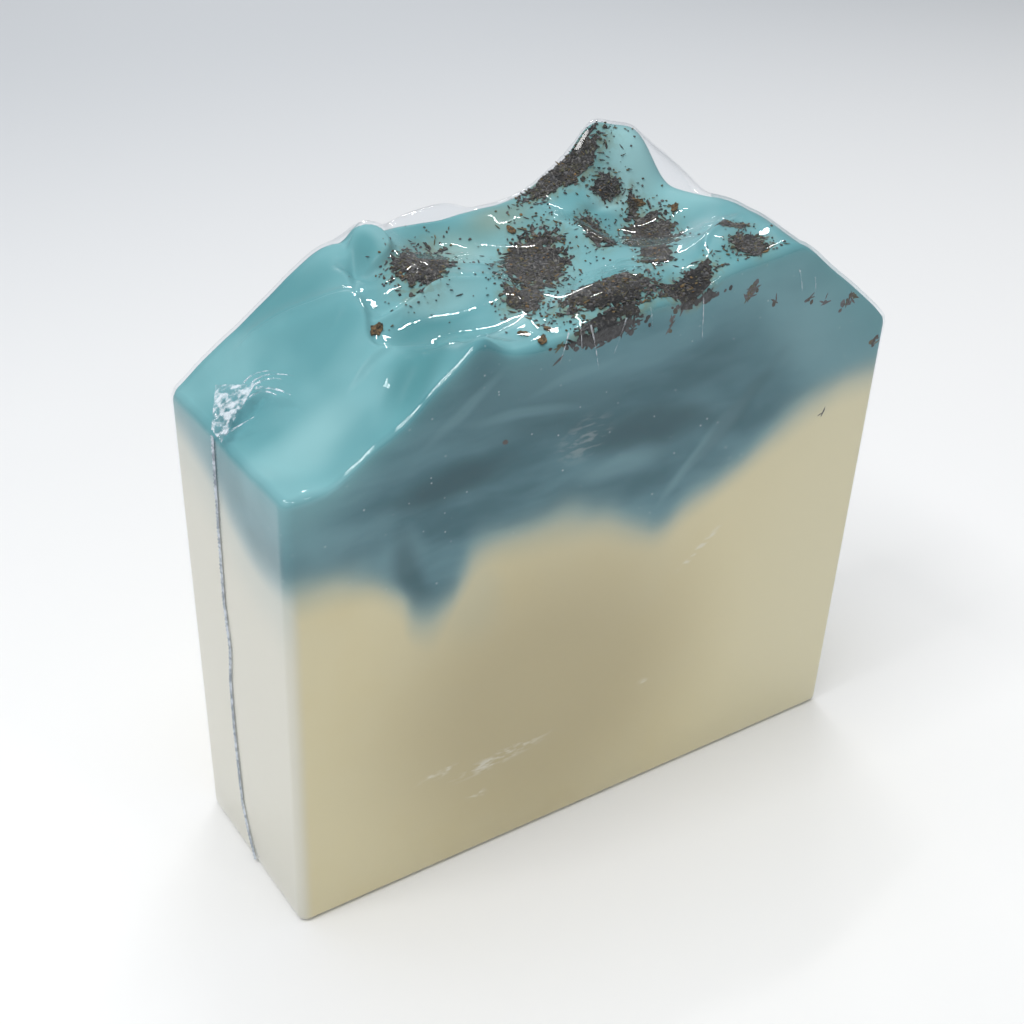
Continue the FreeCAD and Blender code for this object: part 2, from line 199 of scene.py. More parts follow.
def soapTop(x, y):
    left, right = x + bar["width"] / 2, bar["width"] / 2 - x
    across = y / bar["depth"] + 0.5
    toe = bar["toe"] * np.exp(-((across / 0.34) ** 2))
    run = (left - toe + np.hypot(left - toe, 1.5)) / 2 - (np.hypot(toe, 1.5) - toe) / 2
    climb = (1 + np.tanh((left / bar["width"] - 0.62) / 0.16)) / 2 * bar["frontClimb"]
    ridge = (bar["frontRidge"] + climb) * (1 - across) + bar["rearRidge"] * across
    end = 2.0 + bar["rightSlope"] * right - 2.0 * np.exp(-np.maximum(right, 0) / 2.5)
    height = bar["shoulder"] + softLeast([bar["leftSlope"] * run, ridge + 0.5, end], 0.6)
    for along, over, length, width, turn, rise, crisp in folds.values():
        height = height + rise * np.exp(-(spotReach(x, y, along, over, length, width, turn) ** crisp))
    return height


def rounded(path):
    # Corner cutting, twice, so that a line of few points runs smoothly.
    points = np.array(path)
    for turn in range(2):
        near, far = points[:-1] * 0.75 + points[1:] * 0.25, points[:-1] * 0.25 + points[1:] * 0.75
        points = np.vstack([points[:1], np.stack([near, far], axis=1).reshape(-1, 2), points[-1:]])
    return points


def edgeRise(x, y, rise, blend, fade, ridge, path):
    points = rounded(path)
    lengths = np.hypot(*np.diff(points, axis=0).T)
    run = np.concatenate([[0.0], np.cumsum(lengths)])
    nearest, side, along = np.full_like(x, 1e6), np.ones_like(x), np.zeros_like(x)
    for (ax, ay), (bx, by), length, start in zip(points, points[1:], lengths, run):
        dx, dy = (bx - ax) / length, (by - ay) / length
        reach = np.clip((x - ax) * dx + (y - ay) * dy, 0, length)
        far = np.hypot(x - ax - reach * dx, y - ay - reach * dy)
        closer = far < nearest
        turn = np.where(dx * (y - ay) - dy * (x - ax) > 0, 1.0, -1.0)
        nearest, side = np.where(closer, far, nearest), np.where(closer, turn, side)
        along = np.where(closer, start + reach, along)
    ends = np.clip(np.minimum(along, run[-1] - along) / 2.5, 0, 1)
    step = rise * (1 + np.tanh(side * nearest / blend)) / 2 * np.exp(-((nearest / fade) ** 2))
    return ends * (step + ridge * np.exp(-((nearest / 0.5) ** 2)))


def herbDensity(x, y):
    most = np.zeros_like(x)
    for along, across, length, width, turn, crumbs in herbSpots.values():
        most = np.maximum(most, np.exp(-0.9 * spotReach(x, y, along, across, length, width, turn)))
    return most


def makeBlock(name, grow, cells, heightAt, wallRows):
    # A gridded top whose border is rolled over the rim, drawn down the walls and closed at the foot.
    rim = bar["rimRadius"] + grow
    foot = bar["footRadius"] + grow
    low = bar["foot"] - grow * 0.5
    size = [bar["width"] / 2 + grow - rim, bar["depth"] / 2 + grow - rim]
    startFresh()
    bpy.ops.mesh.primitive_grid_add(x_subdivisions=cells[0], y_subdivisions=cells[1], size=2)
    block = bpy.context.object
    block.name = name
    block.scale = (size[0] * mm, size[1] * mm, 1)
    bpy.ops.object.transform_apply(location=True, rotation=True, scale=True)
    x, y, z = readPoints(block)
    writePoints(block, x, y, heightAt(x, y))
    bpy.ops.object.mode_set(mode="EDIT")
    bpy.ops.mesh.select_mode(type="EDGE")
    bpy.ops.mesh.select_all(action="SELECT")
    bpy.ops.mesh.region_to_loop()
    start = list(size)

    def ringTo(spread, drop):
        nonlocal size
        wide = [start[0] + spread, start[1] + spread]
        bpy.ops.mesh.extrude_region_move(TRANSFORM_OT_translate={"value": (0, 0, -drop * mm)})
        bpy.ops.transform.resize(
            value=(wide[0] / size[0], wide[1] / size[1], 1), center_override=(0, 0, 0)
        )
        size = wide

    for step in range(4):
        turn, last = math.pi / 8 * (step + 1), math.pi / 8 * step
        ringTo(rim * math.sin(turn), rim * (math.cos(last) - math.cos(turn)))
    share = 1.0
    for row in wallRows:
        bpy.ops.mesh.extrude_region_move()
        bpy.ops.transform.resize(
            value=(1, 1, row / share), center_override=(0, 0, (low + foot) * mm)
        )
        share = row
    for step in range(3):
        turn, last = math.pi / 6 * (step + 1), math.pi / 6 * step
        ringTo(rim - foot * (1 - math.cos(turn)), foot * (math.sin(turn) - math.sin(last)))
    bpy.ops.mesh.edge_face_add()
    bpy.ops.mesh.select_all(action="SELECT")
    bpy.ops.mesh.normals_make_consistent(inside=False)
    bpy.ops.object.mode_set(mode="OBJECT")
    flareAndRound(block, grow)
    return block


def flareAndRound(block, grow):
    # Upright corners are rounded in plan, and the block gets narrower towards its foot.
    x, y, z = readPoints(block)
    cornerX = bar["width"] / 2 + grow - bar["cornerRadius"]
    cornerY = bar["depth"] / 2 + grow - bar["cornerRadius"]
    overX, overY = np.maximum(abs(x) - cornerX, 0), np.maximum(abs(y) - cornerY, 0)
    pull = np.maximum(overX, overY) / np.maximum(np.hypot(overX, overY), 1e-9)
    x = np.sign(x) * (np.minimum(abs(x), cornerX) + overX * pull)
    y = np.sign(y) * (np.minimum(abs(y), cornerY) + overY * pull)
    y = y * (bar["baseDepth"] + (bar["depth"] - bar["baseDepth"]) * z / bar["shoulder"]) / bar["depth"]
    writePoints(block, x, y, z)


# node helpers

def newMaterial(name):
    material = bpy.data.materials.new(name)
    material.use_nodes = True
    material.node_tree.nodes.clear()
    return material, material.node_tree


def addNode(tree, kind, links=None, **settings):
    node = tree.nodes.new("ShaderNode" + kind)
    values = settings.pop("values", {})
    for key, value in settings.items():
        setattr(node, key, value)
    for key, value in values.items():
        node.inputs[key].default_value = value
    for key, source in (links or {}).items():
        tree.links.new(source, node.inputs[key])
    return node


def spaceInMm(tree):
    coords = addNode(tree, "TexCoord")
    return addNode(
        tree, "Mapping", {"Vector": coords.outputs["Object"]}, values={"Scale": (1000, 1000, 1000)}
    ).outputs["Vector"]


def grain(tree, vector, size, detail=3.0, contrast=(0.35, 0.65), seed=0.0, stretch=(1, 1, 1), turn=0.0):
    # Soft noise with features about `size` millimetres across, from 0 to 1.
    if turn:
        spun = addNode(tree, "Mapping", {"Vector": vector}, values={"Rotation": (0, 0, math.radians(turn))})
        vector = spun.outputs[0]
    moved = addNode(
        tree, "Mapping", {"Vector": vector},
        values={"Location": (seed, seed * 0.7, -seed), "Scale": [s / size for s in stretch]},
    )
    cloud = addNode(tree, "TexNoise", {"Vector": moved.outputs[0]}, values={"Scale": 1.0, "Detail": detail})
    return spread(tree, cloud.outputs["Fac"], *contrast)


def spread(tree, value, low, high, toLow=0.0, toHigh=1.0, kind="SMOOTHSTEP"):
    return addNode(
        tree, "MapRange", {"Value": value}, interpolation_type=kind,
        values={"From Min": low, "From Max": high, "To Min": toLow, "To Max": toHigh},
    ).outputs["Result"]


def combine(tree, how, a, b):
    node = addNode(tree, "Math", operation=how)
    for socket, value in zip(node.inputs, (a, b)):
        if isinstance(value, (int, float)):
            socket.default_value = value
        else:
            tree.links.new(value, socket)
    return node.outputs[0]


def blendColours(tree, amount, first, second, how="MIX"):
    node = addNode(tree, "Mix", data_type="RGBA", blend_type=how)
    for name, value in (("A", first), ("B", second)):
        socket = [s for s in node.inputs if s.name == name and s.type == "RGBA"][0]
        if isinstance(value, tuple):
            socket.default_value = (*value, 1)
        else:
            tree.links.new(value, socket)
    if isinstance(amount, (int, float)):
        node.inputs["Factor"].default_value = amount
    else:
        tree.links.new(amount, node.inputs["Factor"])
    return [s for s in node.outputs if s.type == "RGBA"][0]


def softSpot(tree, vector, centre, halfSizes, turn=0.0, spin=0.0):
    # 1 at the centre, fading to 0 at an ellipsoid's edge; turned on the front face, spun on the top.
    placed = addNode(
        tree, "Mapping", {"Vector": vector}, vector_type="TEXTURE",
        values={
            "Location": centre,
            "Rotation": (0, -math.radians(turn), math.radians(spin)),
            "Scale": halfSizes,
        },
    )
    ball = addNode(tree, "TexGradient", {"Vector": placed.outputs[0]}, gradient_type="SPHERICAL")
    return spread(tree, ball.outputs["Fac"], 0.0, 0.75)


# camera, floor and light

studio = {
    "azimuth": -34.15,
    "elevation": 31.54,
    "roll": 1.79,
    "lens": 54.13,
    "cameraAt": (-96.69, -136.17, 141.08),
    "floorNear": (0.88, 0.88, 0.88),
    "floorFarShade": (0.62, 0.64, 0.665),
    "sky": (0.92, 0.96, 1.0),
    "skyStrength": 0.35,
    "lights": {  # place, size and power
        "overhead": ((0.00, 0.06, 0.85), (0.70, 0.70), 3.35),
        "key": ((-0.36, 0.00, 0.60), (0.17, 0.17), 1.05),
        "rim": ((-0.28, -0.20, 0.46), (0.26, 0.045), 0.50),
        "stripBehind": ((0.22, 0.55, 0.25), (0.14, 0.02), 0.22),
        "stripRight": ((0.34, 0.34, 0.50), (0.07, 0.02), 0.16),
        "spotFront": ((0.12, -0.48, 0.42), (0.05, 0.05), 0.12),
    },
    "beads": ((0.09, 0.24, 0.62), (0.022, 0.003, 0.0), 6, 0.010, 0.045),  # first, step, how many, size, power
}


def addCamera():
    azimuth, elevation, roll = [math.radians(studio[k]) for k in ("azimuth", "elevation", "roll")]
    back = Vector((
        math.sin(azimuth) * math.cos(elevation),
        -math.cos(azimuth) * math.cos(elevation),
        math.sin(elevation),
    ))
    right = Vector((0, 0, 1)).cross(back).normalized()
    up = back.cross(right)
    c, s = math.cos(roll), math.sin(roll)
    turned = Matrix((c * right + s * up, c * up - s * right, back)).transposed().to_4x4()
    turned.translation = Vector(studio["cameraAt"]) * mm
    camera = bpy.data.objects.new("camera", bpy.data.cameras.new("camera"))
    bpy.context.scene.collection.objects.link(camera)
    camera.matrix_world = turned
    camera.data.lens = studio["lens"]
    camera.data.clip_start = 0.005
    bpy.context.scene.camera = camera


def addLight(name, place, size, power, colour=(1, 1, 1), aim=(0, 0, 0.04)):
    light = bpy.data.lights.new(name, "AREA")
    light.shape = "RECTANGLE"
    light.size, light.size_y = size
    light.energy = power
    light.color = colour
    lamp = bpy.data.objects.new(name, light)
    bpy.context.scene.collection.objects.link(lamp)
    lamp.location = place
    lamp.visible_glossy = name != "overhead"
    lamp.rotation_euler = (Vector(aim) - Vector(place)).to_track_quat("-Z", "Y").to_euler()


def addStudio():
    startFresh()
    bpy.ops.mesh.primitive_plane_add(size=3.0, location=(0, 0.4, 0))
    floor = bpy.context.object
    floor.name = "floor"
    material, tree = newMaterial("paleFloor")
    place = addNode(tree, "SeparateXYZ", {"Vector": spaceInMm(tree)})
    # painted shade: the floor is painted darker and bluer towards the back
    far = spread(tree, place.outputs["Y"], -420, 0)  # the plane's own middle lies 400 mm back
    colour = blendColours(tree, far, studio["floorNear"], studio["floorFarShade"])
    shader = addNode(tree, "BsdfDiffuse", {"Color": colour})
    addNode(tree, "OutputMaterial", {"Surface": shader.outputs[0]})
    floor.data.materials.append(material)
    world = bpy.data.worlds.new("sky")
    bpy.context.scene.world = world
    world.use_nodes = True
    background = world.node_tree.nodes["Background"]
    background.inputs["Color"].default_value = (*studio["sky"], 1)
    background.inputs["Strength"].default_value = studio["skyStrength"]
    for name, (place, size, power) in studio["lights"].items():
        addLight(name, place, size, power)
    first, step, count, size, power = studio["beads"]
    for number in range(count):
        place = tuple(f + s * number for f, s in zip(first, step))
        addLight("bead", place, (size, size), power)


addCamera()
addStudio()
bpy.context.scene.view_settings.view_transform = "Standard"
print("camera, floor and lights are set")


# soap

pours = {
    "cream": (0.740, 0.640, 0.370),
    "creamDeep": (0.545, 0.465, 0.270),
    "creamPale": (0.790, 0.730, 0.500),
    "creamEndSheen": (0.710, 0.685, 0.575),
    "tealDeep": (0.006, 0.074, 0.095),
    "tealMid": (0.050, 0.176, 0.216),
    "tealPale": (0.180, 0.350, 0.390),
    "tealSkin": (0.140, 0.368, 0.400),
    "tealSkinPale": (0.350, 0.610, 0.620),
    "tealSkinDeep": (0.070, 0.250, 0.270),
    "herbStain": (0.180, 0.200, 0.120),
    "herbTint": (0.200, 0.250, 0.180),
    "tinted": ((0.4, 11.3, 6.0, 3.5, -10, 0.55), (-6.0, 10.0, 8.0, 4.0, 0, 0.30)),  # laid out as the top's marks below, coloured by herbs
    "tealEdge": (0.210, 0.370, 0.390),
    "scuffs": (  # rubbed places on the front: x, z, half length, half height, turn, amount
        (-14.0, 14.2, 9.0, 1.5, 6, 0.60), (-23.0, 15.6, 3.5, 1.0, 8, 0.70), (-17.5, 9.5, 2.0, 1.4, 0, 0.55),
        (15.0, 36.0, 7.0, 0.7, 38, 0.45), (-4.5, 57.5, 5.0, 3.5, 20, 0.16), (8.0, 17.0, 1.5, 1.0, 0, 0.5),
    ),
    "endRise": 8.0,  # how much higher the cream stands at the back of the left end
    "blurBelow": -9.0,
    "blurAbove": 4.5,
    "boundary": (  # along the bar and up it, where teal meets cream on the front
        (0.0, 51.5), (5.3, 51.2), (10.0, 49.6), (13.7, 46.3), (17.5, 41.0), (19.4, 42.0),
        (21.4, 45.0), (24.0, 48.1), (29.3, 49.0), (34.8, 49.3), (40.6, 48.2), (46.8, 44.9),
        (50.0, 43.4), (54.4, 45.4), (58.8, 48.3), (64.7, 52.3), (70.8, 54.9), (79.1, 56.3),
        (84.0, 56.8),
    ),
    "topShadeSheenAndTone": (  # x, y, half length, half width, turn, amount: below 0 darker, above 0 paler; the darker ones are mostly painted shade in hollows such as the scoop, lens and crevice, the paler ones mostly painted highlight and sheen on the lip, knob and left slope, the rest the skin's own tone
        (-22.5, -9.5, 7.5, 4.0, 20, -0.75), (-15.0, -0.8, 7.0, 2.2, -5, 0.60),
        (19.0, 10.6, 6.0, 5.0, 0, 1.00), (15.5, 8.8, 5.5, 2.2, 0, 0.80),
        (-7.5, 8.5, 4.5, 5.0, 30, 0.60), (-36.0, -7.5, 8.0, 5.0, 0, 0.45),
        (-18.5, 10.5, 2.2, 3.5, 0, -0.70), (-18.0, -3.5, 7.0, 2.6, 0, -0.75),
        (-27.0, 12.0, 10.0, 4.0, -40, -0.35), (26.0, 6.0, 8.0, 7.0, 0, 0.35),
        (-9.5, -8.5, 3.0, 5.0, 0, 0.45), (30.0, -12.0, 10.0, 4.0, 0, -0.50),
    ),
    "frontMarks": (  # x, z, half length, half height, turn, amount: below 0 darker, above 0 paler
        (-21.5, 56.4, 11.0, 3.4, 4, -0.9),
        (5.0, 56.0, 16.0, 4.0, -3, -0.85),
        (-8.0, 61.5, 16.0, 5.0, 0, -0.50),
        (-14.0, 66.5, 14.0, 4.5, 12, -0.40),
        (-27.5, 49.0, 4.0, 5.0, 0, 0.55),
        (-35.5, 53.5, 5.0, 4.0, 0, 0.50),
        (12.0, 62.0, 10.0, 5.0, 20, -0.30),
        (-40.0, 57.0, 5.0, 7.0, 0, 0.35),
        (0.9, 52.2, 9.0, 2.2, 4, 0.60),
        (31.0, 62.5, 14.0, 9.0, -30, 0.75),
        (14.0, 51.6, 12.0, 1.5, 43, 0.60),
        (17.5, 54.6, 12.0, 1.6, 45, -0.45),
        (-20.0, 65.5, 7.0, 1.1, 35, 0.40),
        (-13.0, 62.6, 10.0, 1.1, -8, 0.40),
        (-6.0, 65.5, 8.0, 0.9, 10, 0.30),
        (-26.5, 46.0, 2.6, 9.0, 12, -0.65),
        (-31.0, 52.0, 3.0, 6.0, -20, 0.30),
    ),
}


def soapMaterial():
    material, tree = newMaterial("twoPourSoap")
    space = spaceInMm(tree)
    cloud = addNode(tree, "TexNoise", {"Vector": space}, values={"Scale": 0.055, "Detail": 2.0})
    shift = addNode(
        tree, "VectorMath", {"Vector": cloud.outputs["Color"]}, operation="MULTIPLY_ADD",
    )
    shift.inputs[1].default_value = (6, 6, 6)
    shift.inputs[2].default_value = (-3, -3, -3)
    wandered = addNode(tree, "VectorMath", {0: space, 1: shift.outputs[0]}, operation="ADD").outputs[0]
    parts = addNode(tree, "SeparateXYZ", {"Vector": wandered})
    share = addNode(
        tree, "MapRange", {"Value": parts.outputs["X"]}, values={"From Min": -42.0, "From Max": 42.0}
    ).outputs[0]
    curve = addNode(tree, "FloatCurve", {"Value": share})
    line = curve.mapping.curves[0]
    marks = pours["boundary"]
    while len(line.points) < len(marks):
        line.points.new(0.5, 0.5)
    for point, (along, up) in zip(line.points, marks):
        point.location = (along / 84.0, up / 84.0)
    curve.mapping.update()
    border = combine(tree, "MULTIPLY", curve.outputs[0], 84.0)
    above = combine(tree, "SUBTRACT", parts.outputs["Z"], border)
    haloSpot = softSpot(tree, wandered, (-20.0, -13, 42.0), (9.0, 14, 16.0), 20)
    place = addNode(tree, "SeparateXYZ", {"Vector": space})
    atEnd = spread(tree, place.outputs["X"], -40.2, -41.9)
    raised = combine(tree, "MULTIPLY", spread(tree, place.outputs["Y"], -9.0, 12.0), atEnd)
    above = combine(tree, "SUBTRACT", above, combine(tree, "MULTIPLY", raised, pours["endRise"]))
    teal = spread(tree, above, pours["blurBelow"], pours["blurAbove"])
    teal = combine(tree, "MAXIMUM", teal, combine(tree, "MULTIPLY", haloSpot, 0.22))
    faint = combine(tree, "ADD", combine(tree, "MULTIPLY", atEnd, 0.25), 0.16)
    faded = combine(tree, "MULTIPLY", spread(tree, above, -18.0, 2.0), faint)
    teal = combine(tree, "MAXIMUM", teal, faded)

    tone = grain(tree, wandered, 9.0, 3.0, (0.3, 0.7), 3.0, (0.5, 1, 1.6))
    cutTeal = blendColours(tree, tone, pours["tealDeep"], pours["tealPale"])
    cutTeal = blendColours(tree, 0.55, cutTeal, pours["tealMid"])
    for x, z, length, height, turn, amount in pours["frontMarks"]:
        spot = softSpot(tree, wandered, (x, -13, z), (length, 14, height), turn)
        other = pours["tealPale"] if amount > 0 else pours["tealDeep"]
        cutTeal = blendColours(tree, combine(tree, "MULTIPLY", spot, abs(amount)), cutTeal, other)

    skinTone = grain(tree, wandered, 13.0, 2.0, (0.32, 0.68), 8.0)
    skinTeal = blendColours(tree, skinTone, pours["tealSkinDeep"], pours["tealSkinPale"])
    skinTeal = blendColours(tree, 0.72, skinTeal, pours["tealSkin"])
    # painted shade and painted highlight on the top skin, mixed with its own tone
    for x, y, length, width, turn, amount in pours["topShadeSheenAndTone"]:
        spot = softSpot(tree, space, (x, y, 70), (length, width, 40), 0, turn)
        other = pours["tealSkinPale"] if amount > 0 else pours["tealSkinDeep"]
        skinTeal = blendColours(tree, combine(tree, "MULTIPLY", spot, abs(amount)), skinTeal, other)
    for x, y, length, width, turn, amount in pours["tinted"]:
        spot = softSpot(tree, space, (x, y, 70), (length, width, 40), 0, turn)
        skinTeal = blendColours(tree, combine(tree, "MULTIPLY", spot, amount), skinTeal, pours["herbTint"])
    skin = addNode(tree, "Attribute", attribute_name="skin")
    tealColour = blendColours(tree, skin.outputs["Fac"], cutTeal, skinTeal)

    scratched = grain(tree, space, 1.0, 3.0, (0.46, 0.66), 4.0, (0.5, 1, 1.5))
    creamTone = grain(tree, wandered, 16.0, 2.0, (0.3, 0.7), 15.0)
    toRight = spread(tree, parts.outputs["X"], -5.0, 42.0, 0.0, 0.8)
    paler = combine(tree, "MAXIMUM", combine(tree, "MULTIPLY", creamTone, 0.45), toRight)
    creamColour = blendColours(tree, paler, pours["cream"], pours["creamPale"])
    heart = softSpot(tree, space, (-8.0, -13, 22.0), (34.0, 14, 32.0))
    creamColour = blendColours(tree, heart, creamColour, pours["creamDeep"])
    # painted sheen: the cream on the left end is whitened to stand in for the film's sheen over it
    creamColour = blendColours(tree, atEnd, creamColour, pours["creamEndSheen"])
    colour = blendColours(tree, spread(tree, teal, 0.02, 0.95), creamColour, pours["tealEdge"])
    colour = blendColours(tree, spread(tree, teal, 0.40, 1.0), colour, tealColour)
    for x, z, length, height, turn, amount in pours["scuffs"]:
        spot = softSpot(tree, space, (x, -14, z), (length, 6, height), turn)
        rubbed = combine(tree, "MULTIPLY", combine(tree, "MULTIPLY", spot, scratched), amount)
        colour = blendColours(tree, rubbed, colour, (0.86, 0.84, 0.78))

    herbs = addNode(tree, "Attribute", attribute_name="herbs")
    patchy = grain(tree, space, 0.9, 2.0, (0.35, 0.62), 5.0)
    stained = combine(tree, "MULTIPLY", spread(tree, herbs.outputs["Fac"], 0.12, 0.75), patchy)
    stained = combine(tree, "MAXIMUM", stained, spread(tree, herbs.outputs["Fac"], 0.06, 0.8, 0.0, 0.40))
    colour = blendColours(tree, combine(tree, "MULTIPLY", stained, 0.80), colour, pours["herbStain"])

    specks = addNode(tree, "TexVoronoi", {"Vector": space}, values={"Scale": 1.1, "Randomness": 1.0})
    dust = spread(tree, specks.outputs["Distance"], 0.15, 0.08)
    chosen = addNode(tree, "SeparateColor", {"Color": specks.outputs["Color"]})
    dust = combine(tree, "MULTIPLY", dust, spread(tree, chosen.outputs[0], 0.72, 0.95))
    cutFace = combine(tree, "SUBTRACT", 1.0, skin.outputs["Fac"])
    dust = combine(tree, "MULTIPLY", dust, combine(tree, "MULTIPLY", cutFace, teal))
    colour = blendColours(tree, combine(tree, "MULTIPLY", dust, 0.60), colour, (0.7, 0.76, 0.78))

    bumpNoise = addNode(tree, "TexNoise", {"Vector": space}, values={"Scale": 1.1, "Detail": 2.0})
    bump = addNode(
        tree, "Bump", {"Height": bumpNoise.outputs["Fac"]}, values={"Strength": 0.05, "Distance": 0.0001}
    )
    shader = addNode(
        tree, "BsdfPrincipled", {"Base Color": colour, "Normal": bump.outputs[0]},
        values={
            "Roughness": 0.36,
            "Specular IOR Level": 0.18,
        },
    )
    addNode(tree, "OutputMaterial", {"Surface": shader.outputs[0]})
    return material


def undulation(x, y):
    return 0.22 * unevenness(x, y, 6.5, 1.3) + 0.10 * unevenness(x, y, 2.6, 7.7)


def soapHeight(x, y):
    return soapTop(x, y) + undulation(x, y) + sum(edgeRise(x, y, *edge) for edge in edges.values())


soapBar = makeBlock("soapBar", 0.0, bar["cells"], soapHeight, bar["wallRows"])
topCount = (bar["cells"][0] + 1) * (bar["cells"][1] + 1)
soapX, soapY, soapZ = readPoints(soapBar)
onTop = np.arange(len(soapX)) < topCount
density = herbDensity(soapX, soapY)
ragged = density + 0.24 * unevenness(soapX, soapY, 1.6, 2.0) + 0.30 * unevenness(soapX, soapY, 0.7, 4.0)
nearTop = soapZ > soapTop(soapX, soapY) - 1.2
skinFade = 2.0 + 8.0 / (1 + np.exp(-(soapX - 20) / 4)) + 3.5 * np.exp(-(((soapX + 42) / 6) ** 2))
belowTop = soapTop(soapX, np.clip(soapY, -14.5, 14.5)) - soapZ
saveOnPoints(soapBar, "skin", np.where(onTop, 1.0, 0.85 * np.exp(-np.maximum(belowTop, 0) / skinFade)))
saveOnPoints(soapBar, "herbs", np.where(nearTop, density ** 0.8, 0))
print("soap shaped")


# pressed herbs

herbs = {
    "edge": 0.50,  # how dense the herbs are where a patch ends
    "lift": 0.05,
    "lumps": 0.32,
    "depth": 0.4,
    "crumbSize": (0.10, 0.34),
    "crumbShare": 2.0,
    "scatter": 0.56,
    # painted shade: two places at the crust's front edge, darkened where the overhang shades them
    "shadeUnderCrust": (((-1.0, -13.0, 72.0), (7.0, 2.6, 5.0)), ((10.5, -13.0, 72.0), (5.0, 2.4, 5.0))),
    "onFront": (  # clusters stuck to the front: x, z, half length, half height, turn, crumbs, darkest, palest; the two dense near-black clusters at x -2.6 and 9.6 are painted shade under the overhanging crust
        (18.3, 71.0, 1.7, 0.8, 62, 24, 0.3, 0.95), (6.6, 69.6, 1.2, 0.4, 75, 9, 0.3, 0.95),
        (34.2, 65.9, 1.7, 0.7, 35, 18, 0.3, 0.95), (27.3, 67.5, 0.9, 0.4, 20, 5, 0.3, 0.7),
        (30.2, 67.1, 0.8, 0.5, 50, 4, 0.3, 0.7), (40.4, 59.0, 1.3, 0.5, 50, 9, 0.5, 1.0),
        (-8.9, 70.2, 1.8, 0.5, 10, 10, 0.5, 1.0), (-2.6, 70.2, 4.4, 0.9, 6, 300, 0.0, 0.2),
        (9.6, 71.4, 3.0, 0.7, 4, 120, 0.0, 0.3), (22.0, 68.8, 0.5, 0.4, 0, 3, 0.3, 0.7),
        (-15.0, 60.0, 0.3, 0.2, 0, 1, 0.3, 0.7), (33.0, 50.5, 0.3, 0.3, 0, 2, 0.3, 0.7),
    ),
    # near-black: the darkest herb bits, and also painted shade at the crust's front edge and in the front clusters
    "blackAndShade": (0.018, 0.018, 0.018),
    # grey herb bits, made paler and bluer in part as painted sheen of the film's glare over the herbs
    "ashAndGlare": (0.135, 0.133, 0.138),
    "bark": (0.075, 0.060, 0.045),
    "olive": (0.110, 0.110, 0.060),
    "rust": (0.230, 0.135, 0.050),
    "straw": (0.300, 0.290, 0.270),
}


def herbMaterial():
    material, tree = newMaterial("groundHerbs")
    space = spaceInMm(tree)
    shred = addNode(tree, "TexVoronoi", {"Vector": space}, values={"Scale": 2.6, "Randomness": 1.0})
    pieces = addNode(tree, "SeparateColor", {"Color": shred.outputs["Color"]})
    ramp = addNode(tree, "ValToRGB", {"Fac": pieces.outputs[0]})
    stops = ((0.0, "blackAndShade"), (0.30, "ashAndGlare"), (0.50, "blackAndShade"), (0.72, "ashAndGlare"), (0.84, "bark"), (0.95, "olive"))
    while len(ramp.color_ramp.elements) < len(stops):
        ramp.color_ramp.elements.new(0.5)
    for element, (at, name) in zip(ramp.color_ramp.elements, stops):
        element.position = at
        element.color = (*herbs[name], 1)
    gaps = spread(tree, shred.outputs["Distance"], 0.15, 0.5)
    colour = blendColours(tree, combine(tree, "MULTIPLY", gaps, 0.6), ramp.outputs["Color"], herbs["blackAndShade"])
    dry = grain(tree, space, 3.0, 4.0, (0.40, 0.65), 2.0)
    colour = blendColours(tree, combine(tree, "MULTIPLY", dry, 0.30), colour, herbs["bark"])
    for turn, seed in ((20, 3.0), (75, 8.0), (130, 14.0)):
        strands = grain(tree, space, 0.30, 2.0, (0.60, 0.68), seed, (1, 0.14, 1), turn)
        colour = blendColours(tree, combine(tree, "MULTIPLY", strands, 0.45), colour, herbs["straw"])
    # painted shade: the crust's front edge is darkened almost to black under the overhanging herbs
    for middle, reach in herbs["shadeUnderCrust"]:
        spot = softSpot(tree, space, middle, reach)
        colour = blendColours(tree, combine(tree, "MULTIPLY", spot, 0.95), colour, herbs["blackAndShade"])
    bump = addNode(
        tree, "Bump", {"Height": shred.outputs["Distance"]}, values={"Strength": 0.7, "Distance": 0.0003}
    )
    shader = addNode(
        tree, "BsdfPrincipled", {"Base Color": colour, "Normal": bump.outputs[0]},
        values={"Roughness": 0.8, "Specular IOR Level": 0.25},
    )
    addNode(tree, "OutputMaterial", {"Surface": shader.outputs[0]})
    return material


def crumbMaterial():
    material, tree = newMaterial("herbCrumbs")
    tint = addNode(tree, "Attribute", attribute_name="tint")
    ramp = addNode(tree, "ValToRGB", {"Fac": tint.outputs["Fac"]})
    stops = ((0.0, "blackAndShade"), (0.4, "ashAndGlare"), (0.68, "bark"), (0.90, "olive"), (0.99, "rust"))
    while len(ramp.color_ramp.elements) < len(stops):
        ramp.color_ramp.elements.new(0.5)
    for element, (at, name) in zip(ramp.color_ramp.elements, stops):
        element.position = at
        element.color = (*herbs[name], 1)
    space = spaceInMm(tree)
    fleck = grain(tree, space, 0.25, 2.0, (0.3, 0.7))
    colour = blendColours(tree, combine(tree, "MULTIPLY", fleck, 0.4), ramp.outputs["Color"], herbs["blackAndShade"])
    bumpNoise = addNode(tree, "TexNoise", {"Vector": space}, values={"Scale": 6.0, "Detail": 3.0})
    bump = addNode(
        tree, "Bump", {"Height": bumpNoise.outputs["Fac"]}, values={"Strength": 0.4, "Distance": 0.0001}
    )
    shader = addNode(
        tree, "BsdfPrincipled", {"Base Color": colour, "Normal": bump.outputs[0]},
        values={"Roughness": 0.75, "Specular IOR Level": 0.3},
    )
    addNode(tree, "OutputMaterial", {"Surface": shader.outputs[0]})
    return material


